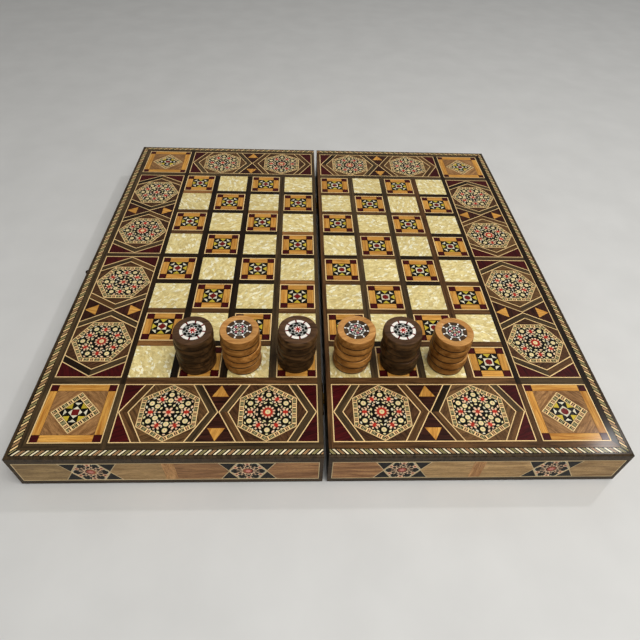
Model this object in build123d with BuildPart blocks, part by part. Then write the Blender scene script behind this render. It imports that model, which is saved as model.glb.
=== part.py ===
"""Folding inlaid backgammon and chess case, lying open with its playing boards up.

Millimetres. +X to the right, +Y away from the player, +Z up. The origin is on the hinge axis, at the
middle of the depth, in the plane of the rims.
"""

import os

from build123d import *

os.makedirs("parts", exist_ok=True)

# ---- Case, one half ----
depth = 498.0  # front to back
hinge_face = 2.0  # from the hinge axis to the face of each half
outer_face = 250.0
wall_height = 36.0
wall_thickness = 9.0
board_thickness = 5.0
board_edge_radius = 1.6
inner_board_thickness = 3.0
top = wall_height + board_thickness

# ---- Inlays let into the top of the playing board ----
inlay_thickness = 1.5
square = 36.8
pitch = 43.5
squares_across = 4
squares_deep = 8
first_column = 24.4  # from the hinge axis to the middle of the first column
panel_width = 57.8
panel_gap = 7.2  # walnut bar between the squares and the front and back panels
side_panel_inner = 178.4
side_panel_split = 5.6  # walnut bar between the two panels along the side
rope_width = 5.2
rope_inset_side = 3.3
rope_inset_end = 2.4

# ---- Inlaid panels on the walls ----
veneer_thickness = 1.0
veneer_bottom = 5.0
veneer_top = 33.0
veneer_inset = 3.2

# ---- Hinges ----
hinge_places = (-165.0, 165.0)
hinge_length = 36.0
leaf_width = 7.6
leaf_thickness = 1.0
leaf_recess = 0.1
knuckle_radius = 1.3
pin_radius = 0.7
pin_clearance = 0.06
knuckle_gap = 0.25
screw_spacing = 22.0
screw_radius = 1.0
screw_head_radius = 1.9
screw_length = 9.0
screw_slot_width = 0.5
screw_slot_depth = 0.4

# ---- Latch ----
pivot_height = 12.0
pivot_radius = 1.5
pivot_clearance = 0.08
pivot_head_radius = 3.4
pivot_head_height = 1.8
hook_standoff = 0.4
hook_thickness = 1.6
hook_eye_radius = 4.2
hook_arm_width = 5.0
hook_reach = 20.0  # from the pivot to the middle of the hook's notch
hook_end_radius = 5.4
knob_place = 26.0  # from the pivot to the finger knob
knob_radius = 2.6
knob_neck_radius = 1.5
knob_neck_length = 0.7
hook_lean = 45.0  # at rest, from upright towards the player
peg_radius = 1.5
notch_clearance = 0.35
peg_head_radius = 2.8
peg_head_thickness = 1.4
wood_screw_depth = 6.5

# ---- Checkers ----
checker_radius = 17.0
checker_thickness = 9.4
checker_edge_radius = 1.3
rosette_radius = 11.0
rosette_thickness = 1.0
checkers_in_stack = 5

half_depth = depth / 2
rows_end = (squares_deep - 1) * pitch / 2 + square / 2
end_panel_inner = rows_end + panel_gap
end_panel_outer = end_panel_inner + panel_width
end_panel_middle = (end_panel_inner + end_panel_outer) / 2
columns_start = first_column - square / 2
columns_end = columns_start + (squares_across - 1) * pitch + square
side_panel_middle = side_panel_inner + panel_width / 2
side_panel_length = rows_end - side_panel_split / 2
inside_near = hinge_face + wall_thickness
inside_far = outer_face - wall_thickness
inside_end = half_depth - wall_thickness

board_top = Plane.XY.offset(top)
inlay_floor = Plane.XY.offset(top - inlay_thickness)


def save(piece, name):
    piece.label = name
    export_step(piece, f"parts/{name}.step")


def square_places(side, marquetry):
    """Middles of the chess squares on one half. Light and marquetry squares alternate."""
    places = []
    for column in range(squares_across):
        for row in range(squares_deep):
            if (column + row + (side < 0)) % 2 == marquetry:
                x = side * (first_column + column * pitch)
                y = (row - (squares_deep - 1) / 2) * pitch
                places.append((x, y))
    return places


def corner_places(side):
    return [(side * side_panel_middle, end * end_panel_middle) for end in (-1, 1)]


def end_panel_places(side):
    x = side * (columns_start + columns_end) / 2
    return [(x, end * end_panel_middle) for end in (-1, 1)]


def side_panel_places(side):
    y = (side_panel_split + side_panel_length) / 2
    return [(side * side_panel_middle, end * y) for end in (-1, 1)]


def rope_outlines(side):
    """The three mitred strips of rope banding: front, outer side and back."""
    out_x = outer_face - rope_inset_side
    out_y = half_depth - rope_inset_end
    in_x, in_y = out_x - rope_width, out_y - rope_width
    near = hinge_face
    front = [(near, -out_y), (out_x, -out_y), (in_x, -in_y), (near, -in_y)]
    outer = [(out_x, -out_y), (out_x, out_y), (in_x, in_y), (in_x, -in_y)]
    back = [(near, out_y), (out_x, out_y), (in_x, in_y), (near, in_y)]
    return [[(side * x, y) for x, y in outline] for outline in (front, outer, back)]


def draw_border_panels(side):
    with Locations(*corner_places(side)):
        Rectangle(panel_width, panel_width)
    with Locations(*end_panel_places(side)):
        Rectangle(columns_end - columns_start, panel_width)
    with Locations(*side_panel_places(side)):
        Rectangle(panel_width, side_panel_length)


def draw_rope(side):
    for outline in rope_outlines(side):
        Polygon(*outline, align=None)


def make_playing_board(side):
    with BuildPart() as board:
        with BuildSketch(Plane.XY.offset(wall_height)):
            with Locations((side * (hinge_face + outer_face) / 2, 0)):
                Rectangle(outer_face - hinge_face, depth)
        extrude(amount=board_thickness)
        outer_edges = board.edges().group_by(Axis.Z)[-1].filter_by_position(
            Axis.X, min(0, side * outer_face) - 1, max(0, side * outer_face) + 1
        )
        hinge_edge = outer_edges.filter_by(Axis.Y).sort_by(Axis.X)[-1 if side < 0 else 0]
        fillet(outer_edges - [hinge_edge], board_edge_radius)
        with BuildSketch(board_top):
            with Locations(*square_places(side, True), *square_places(side, False)):
                Rectangle(square, square)
            draw_border_panels(side)
            draw_rope(side)
        extrude(amount=-inlay_thickness, mode=Mode.SUBTRACT)
    return board.part


def make_squares(side, marquetry):
    with BuildPart() as squares:
        with BuildSketch(inlay_floor):
            with Locations(*square_places(side, marquetry)):
                Rectangle(square, square)
        extrude(amount=inlay_thickness)
    return squares.part


def make_border_panels(side):
    with BuildPart() as panels:
        with BuildSketch(inlay_floor):
            draw_border_panels(side)
        extrude(amount=inlay_thickness)
    return panels.part


def make_rope_banding(side):
    strips = []
    for outline in rope_outlines(side):
        with BuildPart() as strip:
            with BuildSketch(inlay_floor):
                Polygon(*outline, align=None)
            extrude(amount=inlay_thickness)
        strips.append(strip.part)
    return Compound(children=strips)


def make_end_wall(side, end):
    """Front (end -1) or back (end 1) wall, mitred at the outer corner, with its veneer recess."""
    y_out, y_in = end * half_depth, end * inside_end
    outline = [
        (side * hinge_face, y_out),
        (side * outer_face, y_out),
        (side * inside_far, y_in),
        (side * hinge_face, y_in),
    ]
    with BuildPart() as wall:
        with BuildSketch(Plane.XY):
            Polygon(*outline, align=None)
        extrude(amount=wall_height)
        with BuildSketch(Plane.XZ.offset(-y_out)):
            with Locations((side * (hinge_face + outer_face) / 2, (veneer_bottom + veneer_top) / 2)):
                Rectangle(outer_face - hinge_face - 2 * veneer_inset, veneer_top - veneer_bottom)
        extrude(amount=end * veneer_thickness, mode=Mode.SUBTRACT)
    return wall.part


def make_outer_wall(side):
    """Outer side wall, mitred at both ends, with its veneer recess and a hole for latch hardware."""
    x_out, x_in = side * outer_face, side * inside_far
    outline = [(x_out, -half_depth), (x_out, half_depth), (x_in, inside_end), (x_in, -inside_end)]
    hole_height = pivot_height if side < 0 else hook_reach - pivot_height
    with BuildPart() as wall:
        with BuildSketch(Plane.XY):
            Polygon(*outline, align=None)
        extrude(amount=wall_height)
        with BuildSketch(Plane.YZ.offset(x_out)):
            with Locations((0, (veneer_bottom + veneer_top) / 2)):
                Rectangle(depth - 2 * veneer_inset, veneer_top - veneer_bottom)
        extrude(amount=-side * veneer_thickness, mode=Mode.SUBTRACT)
        with BuildSketch(Plane.YZ.offset(x_out)):
            with Locations((0, hole_height)):
                Circle(pivot_radius + pivot_clearance)
        extrude(amount=-side * (wood_screw_depth + 0.3), mode=Mode.SUBTRACT)
    return wall.part


def make_hinge_wall(side):
    """Hinge-side wall between the front and back walls, with mortises for the hinge leaves."""
    x = side * (hinge_face + wall_thickness / 2)
    leaf_x = side * (hinge_face + leaf_width / 2)
    with BuildPart() as wall:
        with BuildSketch(Plane.XY):
            with Locations((x, 0)):
                Rectangle(wall_thickness, 2 * inside_end)
        extrude(amount=wall_height)
        with BuildSketch(Plane.XY):
            with Locations(*[(leaf_x, y) for y in hinge_places]):
                Rectangle(leaf_width, hinge_length)
        extrude(amount=leaf_recess + leaf_thickness, mode=Mode.SUBTRACT)
        with BuildSketch(Plane.XY):
            with Locations(*screw_places(side)):
                Circle(screw_radius + pivot_clearance)
        extrude(amount=leaf_recess + screw_length + 0.2, mode=Mode.SUBTRACT)
    return wall.part


def make_veneers(side):
    """Inlaid panels of the front, back and outer walls."""
    middle = side * (hinge_face + outer_face) / 2
    height = veneer_top - veneer_bottom
    centre_height = (veneer_top + veneer_bottom) / 2
    with BuildPart() as veneers:
        with Locations(
            (middle, -half_depth + veneer_thickness / 2, centre_height),
            (middle, half_depth - veneer_thickness / 2, centre_height),
        ):
            Box(outer_face - hinge_face - 2 * veneer_inset, veneer_thickness, height)
        with Locations((side * (outer_face - veneer_thickness / 2), 0, centre_height)):
            Box(veneer_thickness, depth - 2 * veneer_inset, height)
        with BuildSketch(Plane.YZ.offset(side * outer_face)):
            with Locations((0, pivot_height if side < 0 else hook_reach - pivot_height)):
                Circle(pivot_radius + pivot_clearance)
        extrude(amount=-side * veneer_thickness, mode=Mode.SUBTRACT)
    return veneers.part


def make_inner_board(side):
    """Floor of the tray, under the playing board."""
    x = side * (inside_near + inside_far) / 2
    with BuildPart() as board:
        with BuildSketch(Plane.XY.offset(wall_height - inner_board_thickness)):
            with Locations((x, 0)):
                Rectangle(inside_far - inside_near, 2 * inside_end)
        extrude(amount=inner_board_thickness)
    return board.part


def screw_places(side):
    x = side * (hinge_face + leaf_width / 2)
    return [(x, y + end * screw_spacing / 2) for y in hinge_places for end in (-1, 1)]


def knuckle_spans(side, y):
    """Start and end of each knuckle. The left leaf has the two outer ones, the right the middle."""
    third = hinge_length / 3
    if side < 0:
        return [
            (y - hinge_length / 2, y - third / 2 - knuckle_gap / 2),
            (y + third / 2 + knuckle_gap / 2, y + hinge_length / 2),
        ]
    return [(y - third / 2 + knuckle_gap / 2, y + third / 2 - knuckle_gap / 2)]


def make_hinge_leaves(side):
    leaf_plane = Plane.XY.offset(leaf_recess)
    bore = pin_radius if side < 0 else pin_radius + pin_clearance
    with BuildPart() as leaves:
        for y in hinge_places:
            with BuildSketch(leaf_plane):
                with Locations((side * (hinge_face + leaf_width / 2), y)):
                    Rectangle(leaf_width, hinge_length)
                for start, finish in knuckle_spans(side, y):
                    with Locations((side * hinge_face / 2, (start + finish) / 2)):
                        Rectangle(hinge_face, finish - start)
            extrude(amount=leaf_thickness)
            for start, finish in knuckle_spans(side, y):
                with BuildSketch(Plane.XZ.offset(-start)):
                    Circle(knuckle_radius)
                extrude(amount=-(finish - start))
                with BuildSketch(Plane.XZ.offset(-start)):
                    Circle(bore)
                extrude(amount=-(finish - start), mode=Mode.SUBTRACT)
        with BuildSketch(leaf_plane):
            with Locations(*screw_places(side)):
                Circle(screw_head_radius)
        extrude(amount=leaf_thickness, taper=41, mode=Mode.SUBTRACT)
        with BuildSketch(leaf_plane):
            with Locations(*screw_places(side)):
                Circle(screw_radius + pivot_clearance)
        extrude(amount=leaf_thickness, mode=Mode.SUBTRACT)
    return leaves.part


def make_hinge_pins():
    with BuildPart() as pins:
        for y in hinge_places:
            with BuildSketch(Plane.XZ.offset(-(y - hinge_length / 2))):
                Circle(pin_radius)
            extrude(amount=-hinge_length)
    return pins.part


def make_hinge_screws(side):
    """Countersunk screws, with their heads flush with the leaf and slotted."""
    screws = []
    for x, y in screw_places(side):
        with BuildPart() as screw:
            with BuildSketch(Plane.XZ.offset(-y)) as profile:
                with BuildLine():
                    Polyline(
                        (x, leaf_recess),
                        (x + screw_head_radius - 0.06, leaf_recess),
                        (x + screw_radius, leaf_recess + leaf_thickness),
                        (x + screw_radius, screw_length - screw_radius),
                        (x, screw_length),
                        close=True,
                    )
                make_face()
            revolve(axis=Axis((x, y, 0), (0, 0, 1)))
            with Locations((x, y, leaf_recess + screw_slot_depth / 2)):
                Box(screw_slot_width, 3 * screw_head_radius, screw_slot_depth, mode=Mode.SUBTRACT)
        screws.append(screw.part)
    return Compound(children=screws)


def make_latch_hook():
    """Flat hook that turns on the left outer wall, at rest leaning to the player, with a finger knob."""
    face = -(outer_face + hook_standoff)
    notch_height = pivot_height + hook_reach
    tip_height = pivot_height + knob_place
    with BuildPart() as hook:
        with BuildSketch(Plane.YZ.offset(face)):
            with Locations((0, pivot_height)):
                Circle(hook_eye_radius)
            with Locations((0, (pivot_height + tip_height) / 2)):
                Rectangle(hook_arm_width, tip_height - pivot_height)
            with Locations((0.8, notch_height)):
                Circle(hook_end_radius)
            with Locations((0, tip_height)):
                Circle(hook_arm_width / 2)
            with Locations((0, pivot_height)):
                Circle(pivot_radius + pivot_clearance, mode=Mode.SUBTRACT)
            with Locations((0, notch_height)):
                Circle(peg_radius + notch_clearance, mode=Mode.SUBTRACT)
            with Locations((-hook_end_radius, notch_height)):
                Rectangle(2 * hook_end_radius, 2 * (peg_radius + notch_clearance), mode=Mode.SUBTRACT)
        extrude(amount=-hook_thickness)
        knob_middle = face - hook_thickness - knob_neck_length - 0.8 * knob_radius
        with BuildSketch(Plane.YZ.offset(face - hook_thickness / 2)):
            with Locations((0, tip_height)):
                Circle(knob_neck_radius)
        extrude(amount=knob_middle - face + hook_thickness / 2)
        with Locations((knob_middle, 0, tip_height)):
            Sphere(knob_radius)
    return hook.part.rotate(Axis((0, 0, pivot_height), (1, 0, 0)), hook_lean)


def make_latch_screw():
    """Round-headed screw that the hook turns on."""
    head_face = outer_face + hook_standoff + hook_thickness + 0.2
    with BuildPart() as screw:
        with BuildSketch(Plane.XZ):
            with BuildLine():
                start = (-(outer_face - wood_screw_depth), pivot_height)
                shank = Polyline(
                    start,
                    (start[0], pivot_height + pivot_radius),
                    (-head_face, pivot_height + pivot_radius),
                    (-head_face, pivot_height + pivot_head_radius),
                )
                dome = ThreePointArc(
                    shank @ 1,
                    (-(head_face + 0.72 * pivot_head_height), pivot_height + 0.62 * pivot_head_radius),
                    (-(head_face + pivot_head_height), pivot_height),
                )
                Line(dome @ 1, start)
            make_face()
        revolve(axis=Axis((0, 0, pivot_height), (1, 0, 0)))
        with Locations((-(head_face + pivot_head_height), 0, pivot_height)):
            Box(2 * 0.7, 3 * pivot_head_radius, 0.8, mode=Mode.SUBTRACT)
    return screw.part


def make_catch_peg():
    """Headed peg on the right outer wall, which the hook's notch slips over when the case is shut."""
    height = hook_reach - pivot_height
    head_start = outer_face + hook_standoff + hook_thickness + 0.5
    with BuildPart() as peg:
        with BuildSketch(Plane.YZ.offset(outer_face - wood_screw_depth)):
            with Locations((0, height)):
                Circle(peg_radius)
        extrude(amount=head_start - outer_face + wood_screw_depth)
        with BuildSketch(Plane.YZ.offset(head_start)):
            with Locations((0, height)):
                Circle(peg_head_radius)
        extrude(amount=peg_head_thickness)
        rim = peg.edges().filter_by(GeomType.CIRCLE).group_by(Axis.X)[-1]
        fillet(rim, 0.6)
    return peg.part


def make_checker(x, y, z):
    """Turned disc with rounded edges, and the rosette let into its upper face."""
    with BuildPart() as disc:
        with BuildSketch(Plane.XY.offset(z)):
            with Locations((x, y)):
                Circle(checker_radius)
        extrude(amount=checker_thickness)
        fillet(disc.edges().filter_by(GeomType.CIRCLE), checker_edge_radius)
        with BuildSketch(Plane.XY.offset(z + checker_thickness)):
            with Locations((x, y)):
                Circle(rosette_radius)
        extrude(amount=-rosette_thickness, mode=Mode.SUBTRACT)
    with BuildPart() as rosette:
        with BuildSketch(Plane.XY.offset(z + checker_thickness - rosette_thickness)):
            with Locations((x, y)):
                Circle(rosette_radius)
        extrude(amount=rosette_thickness)
    return Compound(children=[disc.part, rosette.part])


# ---- The two halves ----
for side, name in ((-1, "left"), (1, "right")):
    save(make_playing_board(side), f"{name}_playing_board")
    save(make_end_wall(side, -1), f"{name}_front_wall")
    save(make_end_wall(side, 1), f"{name}_back_wall")
    save(make_outer_wall(side), f"{name}_outer_wall")
    save(make_hinge_wall(side), f"{name}_hinge_wall")
    save(make_inner_board(side), f"{name}_inner_board")
    save(make_squares(side, False), f"{name}_pearl_squares")
    save(make_squares(side, True), f"{name}_marquetry_squares")
    save(make_border_panels(side), f"{name}_border_panels")
    save(make_rope_banding(side), f"{name}_rope_banding")
    save(make_veneers(side), f"{name}_wall_veneers")
    save(make_hinge_leaves(side), f"{name}_hinge_leaves")
    save(make_hinge_screws(side), f"{name}_hinge_screws")

# ---- Hardware shared by the halves ----
save(make_hinge_pins(), "hinge_pins")
save(make_latch_hook(), "latch_hook")
save(make_latch_screw(), "latch_screw")
save(make_catch_peg(), "catch_peg")

# ---- Checkers, in six stacks of five on the front row, each stack a little out of true ----
stack_columns = (-3, -2, -1, 1, 2, 3)
stack_base_shifts = ((-2.9, 0.4), (-5.3, 0.6), (-1.0, 2.4), (1.0, 1.6), (1.2, 0.2), (1.8, 0.2))
stack_leans = ((2.6, -5.0), (0.4, -3.8), (2.0, -5.4), (1.2, -4.4), (-2.6, -3.6), (-2.6, -5.0))
wobble = ((0.0, 0.0), (0.7, -0.5), (-0.6, 0.6), (0.5, 0.4), (0.0, 0.0))
front_row = -(squares_deep - 1) * pitch / 2
for stack, column in enumerate(stack_columns, start=1):
    side = 1 if column > 0 else -1
    colour = "dark" if stack % 2 else "light"
    middle = side * (first_column + (abs(column) - 1) * pitch)
    shift_x, shift_y = stack_base_shifts[stack - 1]
    lean_x, lean_y = stack_leans[stack - 1]
    for level in range(checkers_in_stack):
        share = level / (checkers_in_stack - 1)
        wobble_x, wobble_y = wobble[level]
        x = middle + shift_x + share * lean_x + side * wobble_x
        y = front_row + shift_y + share * lean_y + side * wobble_y
        z = top + level * checker_thickness
        save(make_checker(x, y, z), f"checker_{colour}_{stack}_{level + 1}")
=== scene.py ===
"""Looks of the folding inlaid backgammon case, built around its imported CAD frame.

Blender's lengths are metres. The inlay patterns are drawn in millimetres on flat places whose
positions come from the frame, and are turned into metres where their points are made.
"""

import math
import random

import bmesh
import bpy
from mathutils import Matrix, Vector


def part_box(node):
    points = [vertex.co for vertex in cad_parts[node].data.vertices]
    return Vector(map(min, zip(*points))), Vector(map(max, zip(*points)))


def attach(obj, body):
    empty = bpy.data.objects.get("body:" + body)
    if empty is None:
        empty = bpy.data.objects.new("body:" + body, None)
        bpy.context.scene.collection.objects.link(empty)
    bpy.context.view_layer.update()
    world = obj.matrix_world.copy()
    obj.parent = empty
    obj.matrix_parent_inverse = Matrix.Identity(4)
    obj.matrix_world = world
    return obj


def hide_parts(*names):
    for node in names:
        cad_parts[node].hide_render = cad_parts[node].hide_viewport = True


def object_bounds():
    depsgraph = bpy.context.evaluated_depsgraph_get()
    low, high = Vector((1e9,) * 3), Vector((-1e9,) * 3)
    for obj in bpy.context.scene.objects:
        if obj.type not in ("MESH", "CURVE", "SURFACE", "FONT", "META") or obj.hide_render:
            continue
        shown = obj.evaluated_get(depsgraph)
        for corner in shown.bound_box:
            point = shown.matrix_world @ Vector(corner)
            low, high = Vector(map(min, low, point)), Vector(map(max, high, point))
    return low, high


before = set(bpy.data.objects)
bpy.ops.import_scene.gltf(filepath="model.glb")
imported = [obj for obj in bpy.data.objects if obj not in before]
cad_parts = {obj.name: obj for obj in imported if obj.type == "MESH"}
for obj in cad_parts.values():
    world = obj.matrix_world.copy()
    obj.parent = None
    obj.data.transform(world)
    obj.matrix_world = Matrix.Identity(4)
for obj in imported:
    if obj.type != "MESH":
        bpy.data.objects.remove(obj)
cad_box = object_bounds()
chance = random.Random(11)

MM = 0.001
SIDES = (("left", -1), ("right", 1))
ENDS = (-1, 1)
ROOT_3 = math.sqrt(3)
SLOPE = math.sin(math.radians(60))

# ---- Inlay work, in millimetres ----
GLUE_LINE = 0.05  # drawn in from every edge of a small piece
LAYER = 0.04  # height between overlapping layers, all of them below the face
BED_DEPTH = 1.2
PIECE_DEPTH = 0.5
PANEL_LINE = 0.9
WALL_LINE = 0.6
WALL_STRIP = 10.0
SQUARE_LINE = 1.1
SQUARE_BAR = 7.2
CORNER_BAR = 6.6
DIAGONAL_BAND = 6.6  # between the cream lines beside a medallion, measured square to them
MEDALLION_RADIUS = 28.1
HONEY_SIDE = 14.4
HEXAGON_LINE = 0.7
HEXAGON_BANDING = 2.8
HEXAGON_INNER_LINE = 0.6
ROPE_EDGE = 0.4
SEAT = 0.01  # hair's breadth between a checker and what it stands on


# ---- materials ----


def srgb(red, green, blue):
    """Linear colour of an sRGB colour given as three values from 0 to 255."""

    def linear(value):
        value /= 255
        return value / 12.92 if value <= 0.04045 else ((value + 0.055) / 1.055) ** 2.4

    return (linear(red), linear(green), linear(blue), 1.0)


class Surface:
    """A node material being put together around its Principled shader."""

    def __init__(self, name, settings):
        self.material = bpy.data.materials.new(name)
        self.material.use_nodes = True
        self.tree = self.material.node_tree
        self.shader = self.tree.nodes["Principled BSDF"]
        for socket, value in settings.items():
            self.shader.inputs[socket].default_value = value

    def node(self, kind, inputs, output=0, **properties):
        """Adds a node, sets or links its inputs and returns one of its outputs."""
        made = self.tree.nodes.new(kind)
        for name, value in properties.items():
            setattr(made, name, value)
        for name, value in inputs.items():
            if isinstance(value, bpy.types.NodeSocket):
                self.tree.links.new(value, made.inputs[name])
            else:
                made.inputs[name].default_value = value
        return made.outputs[output]

    def link(self, output, socket):
        self.tree.links.new(output, self.shader.inputs[socket])

    def coordinates(self, source):
        """Coordinates with the grain along X: "along_x" and "along_y" name the axis of an object
        that its grain follows, and "grain" stands for what each inlay piece stores."""
        if source.startswith("along"):
            place = self.node("ShaderNodeTexCoord", {}, "Object")
            turn = (0.0, 0.0, math.pi / 2 if source == "along_y" else 0.0)
            return self.node("ShaderNodeMapping", {"Vector": place, "Rotation": turn})
        return self.node("ShaderNodeAttribute", {}, "Vector", attribute_name=source)

    def stretched(self, vector, lengths):
        """Coordinates in which one unit is the given length in millimetres along each axis."""
        scale = [1 / (length * MM) for length in lengths]
        return self.node("ShaderNodeMapping", {"Vector": vector, "Scale": scale})

    def noise(self, place, lengths, detail=3.0, distortion=0.0):
        vector = self.stretched(place, lengths)
        inputs = {"Vector": vector, "Scale": 1.0, "Detail": detail, "Distortion": distortion}
        return self.node("ShaderNodeTexNoise", inputs)

    def ramp(self, factor, *stops):
        output = self.node("ShaderNodeValToRGB", {"Fac": factor}, "Color")
        elements = output.node.color_ramp.elements
        while len(elements) < len(stops):
            elements.new(1.0)
        for element, (position, colour) in zip(elements, stops):
            element.position = position
            element.color = colour
        return output

    def mix(self, factor, first, second, blend="MULTIPLY"):
        inputs = {0: factor, 6: first, 7: second}
        return self.node("ShaderNodeMix", inputs, 2, data_type="RGBA", blend_type=blend)

    def fit(self, value, low, high):
        """Stretches the middle of a noise to run from low to high."""
        inputs = {"Value": value, "From Min": 0.3, "From Max": 0.7, "To Min": low, "To Max": high}
        return self.node("ShaderNodeMapRange", inputs)

    def toned(self, colour, strength):
        """Makes a colour lighter or darker by the tone that each inlay piece stores."""
        tone = self.node("ShaderNodeAttribute", {}, "Fac", attribute_name="tone")
        inputs = {0: tone, 1: strength, 2: 1.0}
        value = self.node("ShaderNodeMath", inputs, operation="MULTIPLY_ADD")
        return self.node("ShaderNodeHueSaturation", {"Color": colour, "Value": value})

    def bumped(self, height, strength, distance):
        inputs = {"Height": height, "Strength": strength, "Distance": distance * MM}
        self.link(self.node("ShaderNodeBump", inputs), "Normal")


LACQUER = {"Coat Weight": 0.05, "Coat Roughness": 0.12, "Specular IOR Level": 0.1}


def shade(level):
    return (level, level, level, 1.0)


def wood(name, dark, light, figure=(45.0, 3.2), tone=0.16, pores=0.55, streak=0.72, source="grain"):
    """Lacquered wood with figure along its grain, fine dark pores and a slightly uneven face."""
    surface = Surface(name, LACQUER)
    place = surface.coordinates(source)
    length, width = figure
    long_figure = surface.noise(place, (length, width, width), 4.0, 0.7)
    fine_figure = surface.noise(place, (length / 3, width / 6, width / 6), 3.0)
    pore_noise = surface.noise(place, (2.6, 0.22, 0.22), 1.0)
    colour = surface.ramp(long_figure, (0.3, srgb(*dark)), (0.68, srgb(*light)))
    grained = surface.ramp(fine_figure, (0.3, shade(streak)), (0.65, shade(1.12)))
    colour = surface.mix(0.8, colour, grained)
    pored = surface.ramp(pore_noise, (0.36, shade(1 - pores)), (0.47, shade(1.0)))
    colour = surface.mix(0.75, colour, pored)
    surface.link(surface.toned(colour, tone), "Base Color")
    surface.link(surface.fit(fine_figure, 0.52, 0.36), "Roughness")
    height = surface.mix(0.5, pored, grained)
    surface.bumped(height, 0.22, 0.12)
    return surface.material


def tessera(name, colour, spread=0.16, tone=0.2, grain=(2.4, 0.5)):
    """Small hard piece of bone, ebony or dyed wood, with short fibres and polishing marks."""
    surface = Surface(name, LACQUER)
    place = surface.coordinates("grain")
    length, width = grain
    fibres = surface.noise(place, (length, width, width), 4.0, 0.3)
    clouds = surface.noise(place, (4.0, 4.0, 4.0), 2.0)
    fibred = surface.ramp(fibres, (0.3, shade(1 - spread)), (0.7, shade(1 + spread / 2)))
    clouded = surface.ramp(clouds, (0.3, shade(1 - spread / 2)), (0.7, shade(1 + spread / 3)))
    base = surface.mix(1.0, fibred, srgb(*colour))
    base = surface.mix(1.0, base, clouded)
    surface.link(surface.toned(base, tone), "Base Color")
    surface.link(surface.fit(clouds, 0.3, 0.48), "Roughness")
    surface.bumped(fibres, 0.15, 0.06)
    return surface.material


def pearl(name):
    """Cream mother-of-pearl in small overlapping flakes, some of which catch the light."""
    surface = Surface(name, {"Coat Weight": 0.25, "Coat Roughness": 0.1})
    place = surface.coordinates("grain")
    swirl = surface.noise(place, (9.0, 6.0, 8.0), 5.0, 1.2)
    bent = surface.mix(0.008, place, swirl, "ADD")
    colours = []
    for size, feature in (((3.8, 2.2, 3.0), "F1"), ((1.7, 1.2, 1.5), "SMOOTH_F1")):
        cells = {"Vector": surface.stretched(bent, size), "Scale": 1.0}
        colours.append(surface.node("ShaderNodeTexVoronoi", cells, "Color", feature=feature))
    large, small = (surface.node("ShaderNodeSeparateColor", {"Color": cell}) for cell in colours)
    colour = surface.ramp(
        large,
        (0.0, srgb(214, 190, 122)),
        (0.45, srgb(232, 212, 144)),
        (0.78, srgb(240, 222, 156)),
        (0.92, srgb(255, 248, 212)),
    )
    flaked = surface.ramp(small, (0.0, shade(0.82)), (0.5, shade(1.0)), (0.92, shade(1.16)))
    colour = surface.mix(0.7, colour, flaked)
    clouded = surface.ramp(swirl, (0.35, shade(0.9)), (0.62, shade(1.06)))
    colour = surface.mix(0.8, colour, clouded)
    surface.link(surface.toned(colour, 0.04), "Base Color")
    surface.link(surface.fit(large, 0.42, 0.28), "Roughness")
    surface.bumped(small, 0.12, 0.05)
    return surface.material


def metal(name, bright, dull, roughness):
    """Aged brass: polished on the rubbed patches, tarnished between them, with fine scratches."""
    surface = Surface(name, {"Metallic": 1.0})
    place = surface.coordinates("along_x")
    patches = surface.noise(place, (5.0, 5.0, 5.0), 5.0, 0.4)
    scratches = surface.noise(place, (4.0, 0.15, 0.6), 2.0)
    surface.link(surface.ramp(patches, (0.38, dull), (0.62, bright)), "Base Color")
    surface.link(surface.fit(patches, roughness + 0.22, roughness), "Roughness")
    surface.bumped(scratches, 0.25, 0.05)
    return surface.material


def floor_surface(name):
    """Pale matt studio floor with a barely visible mottle."""
    surface = Surface(name, {"Roughness": 0.85, "Specular IOR Level": 0.2})
    mottle = surface.noise(surface.coordinates("along_x"), (60.0, 60.0, 60.0))
    colour = surface.ramp(mottle, (0.3, srgb(214, 214, 212)), (0.7, srgb(220, 220, 218)))
    surface.link(colour, "Base Color")
    return surface.material


WALNUT = wood("walnut", (48, 37, 23), (92, 73, 48), (60.0, 3.0))
WALNUT_DARK = wood("walnut_dark", (16, 9, 4), (50, 36, 20), (60.0, 2.6))
CASE_COLOURS = ((42, 32, 20), (80, 63, 42))
CASE_ALONG = wood("walnut_along", *CASE_COLOURS, (60.0, 3.0), source="along_y")
CASE_ACROSS = wood("walnut_across", *CASE_COLOURS, (60.0, 3.0), source="along_x")
WALNUT_BROWN = wood("walnut_brown", (58, 37, 19), (112, 78, 45), (40.0, 2.6))
WALNUT_TAN = wood("walnut_tan", (108, 70, 34), (168, 118, 66), (40.0, 2.6))
WALNUT_SIDE = wood("walnut_side", (152, 118, 74), (204, 166, 112), (34.0, 6.0), streak=0.84)
WALNUT_DUSK = wood("walnut_dusk", (124, 98, 62), (176, 146, 98), (34.0, 6.0), streak=0.84)
WALNUT_RUST = wood("walnut_rust", (126, 84, 51), (184, 136, 88), (30.0, 3.6), streak=0.84)
WALNUT_LIGHT = wood("walnut_light", (164, 114, 66), (212, 162, 106), (16.0, 3.0), streak=0.84)
FIELD = wood("field_brown", (64, 42, 23), (124, 90, 54), (12.0, 1.6))
FIELD_DARK = wood("field_dark", (46, 27, 15), (98, 66, 40), (12.0, 1.6))
CORNER_FIELD = wood("corner_field", (116, 78, 44), (180, 134, 84), (16.0, 2.6))
PURPLE = wood("rosewood", (28, 9, 4), (74, 38, 26), (24.0, 1.8))
MAROON = wood("maroon", (40, 4, 5), (80, 16, 17), (16.0, 1.4), 0.14, 0.3, 0.84)
HONEY = wood("honey", (178, 114, 42), (230, 172, 84), (26.0, 1.8), 0.1, 0.25)
EBONY = tessera("ebony", (17, 12, 7), 0.4)
BLACK_FIELD = tessera("black_field", (20, 16, 9), 0.5, 0.3, (1.8, 1.2))
CREAM = tessera("cream_bone", (246, 210, 148), 0.12, 0.12, (9.0, 0.5))
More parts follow.
